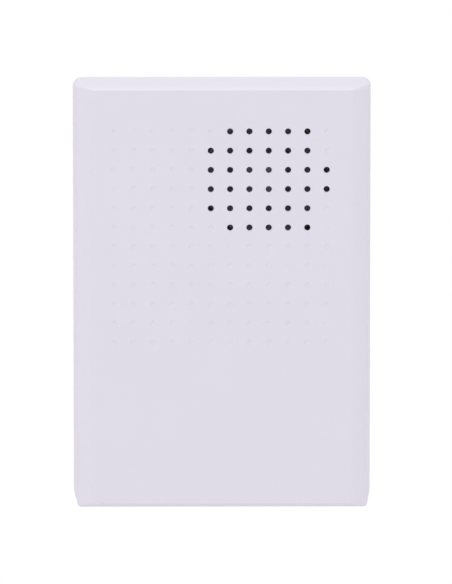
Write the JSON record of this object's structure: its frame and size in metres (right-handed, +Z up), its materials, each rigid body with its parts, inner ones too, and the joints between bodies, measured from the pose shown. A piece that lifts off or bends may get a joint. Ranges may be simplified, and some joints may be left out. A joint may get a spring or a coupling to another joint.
{
  "type": "doorbell chime box",
  "caption": "Wall-hung white doorbell chime box: hinged clip-on cover with a dimpled loudspeaker grille over a plate carrying a loudspeaker, chime board and bell-wire clamps.",
  "frame": {"origin": "middle of the wall plate's back face, on the wall", "axes": "+X to the right seen from the front, +Y into the wall, +Z up; the front face looks along -Y"},
  "size_m": [0.092, 0.028, 0.131],
  "materials": {
    "shell": "fine satin moulded ABS, cool white",
    "plate": "satin moulded ABS",
    "zinc_steel": "zinc-plated pressed steel",
    "screw_steel": "bright zinc plate",
    "ferrite": "dark sintered ferrite",
    "copper": "enamelled copper winding",
    "spider_cloth": "pressed impregnated cloth",
    "cone_paper": "pressed grey paper",
    "cap_paper": "pressed pale grey paper",
    "surround_rubber": "thin rolled rubber",
    "gasket_foam": "closed-cell foam",
    "phenolic": "phenolic paper laminate",
    "tinned_brass": "pressed brass, partly tinned",
    "tinned_wire": "tinned copper wire",
    "board": "green solder mask over fibreglass",
    "epoxy": "black moulding epoxy",
    "can_sleeve": "shrunk sleeve on an aluminium can",
    "ceramic_disc": "dipped ceramic disc",
    "resistor_lacquer": "beige lacquer with colour rings",
    "trimmer_blue": "blue moulded housing",
    "trimmer_white": "white moulded rotor",
    "terminal_green": "green polyamide",
    "plug_nylon": "natural nylon",
    "wire_red": "red PVC insulation",
    "wire_black": "black PVC insulation"
  },
  "bodies": {
    "base": {"back_plate": "plate", "catch_tongue": "plate", "speaker_basket": "zinc_steel", "speaker_yoke": "zinc_steel", "speaker_magnet": "ferrite", "speaker_top_plate": "zinc_steel", "speaker_spider": "spider_cloth", "speaker_surround": "surround_rubber", "speaker_gasket": "gasket_foam", "speaker_tag_strip": "phenolic", "speaker_tags": "tinned_brass", "speaker_washers": "zinc_steel", "speaker_screws": "screw_steel", "circuit_board": "board", "board_screws": "screw_steel", "melody_chip": "epoxy", "chip_pins": "tinned_wire", "power_transistors": "epoxy", "transistor_legs": "tinned_wire", "reservoir_capacitor": "can_sleeve", "small_capacitors": "can_sleeve", "ceramic_capacitors": "ceramic_disc", "resistors": "resistor_lacquer", "rectifier_diodes": "epoxy", "component_leads": "tinned_wire", "volume_trimmer": "trimmer_blue", "terminal_housing": "terminal_green", "terminal_contacts": "tinned_brass", "lead_plug": "plug_nylon", "speaker_lead_red": "wire_red", "speaker_lead_black": "wire_black"},
    "cover": {"front_cover": "shell"},
    "diaphragm": {"speaker_cone": "cone_paper", "dust_cap": "cap_paper", "voice_coil": "copper"},
    "volume_control": {"volume_rotor": "trimmer_white"},
    "left_screw": {"terminal_screw_left": "screw_steel"},
    "right_screw": {"terminal_screw_right": "screw_steel"},
    "left_cage": {"clamp_cage_left": "tinned_brass"},
    "right_cage": {"clamp_cage_right": "tinned_brass"}
  },
  "joints": [
    {"name": "cover_hinge", "type": "hinge", "parent": "base", "child": "cover", "pos_m": [0, -0.0028, 0.0627], "axis": [-1, 0, 0], "range_deg": [0, 30], "deforming": ["catch_tongue"]},
    {"name": "diaphragm_travel", "type": "slide", "parent": "base", "child": "diaphragm", "axis": [0, -1, 0], "range_m": [-0.0005, 0.0005], "stiffness_N_per_m": 2000, "deforming": ["speaker_surround", "speaker_spider"]},
    {"name": "volume_turn", "type": "hinge", "parent": "base", "child": "volume_control", "pos_m": [0.028, -0.0125, -0.0132], "axis": [0, 1, 0], "range_deg": [-130, 130]},
    {"name": "left_screw_turn", "type": "hinge", "parent": "base", "child": "left_screw", "pos_m": [-0.0265, -0.018, -0.0059], "axis": [0, 1, 0], "range_deg": [0, 1440]},
    {"name": "right_screw_turn", "type": "hinge", "parent": "base", "child": "right_screw", "pos_m": [-0.0215, -0.018, -0.0059], "axis": [0, 1, 0], "range_deg": [0, 1440]},
    {"name": "left_cage_lift", "type": "slide", "parent": "base", "child": "left_cage", "axis": [0, -1, 0], "range_m": [0, 0.002]},
    {"name": "right_cage_lift", "type": "slide", "parent": "base", "child": "right_cage", "axis": [0, -1, 0], "range_m": [0, 0.002]}
  ],
  "couplings": [
    {"joint": "left_screw_turn", "follows": "left_cage_lift", "rad_per_m": 12566},
    {"joint": "right_screw_turn", "follows": "right_cage_lift", "rad_per_m": 12566}
  ]
}
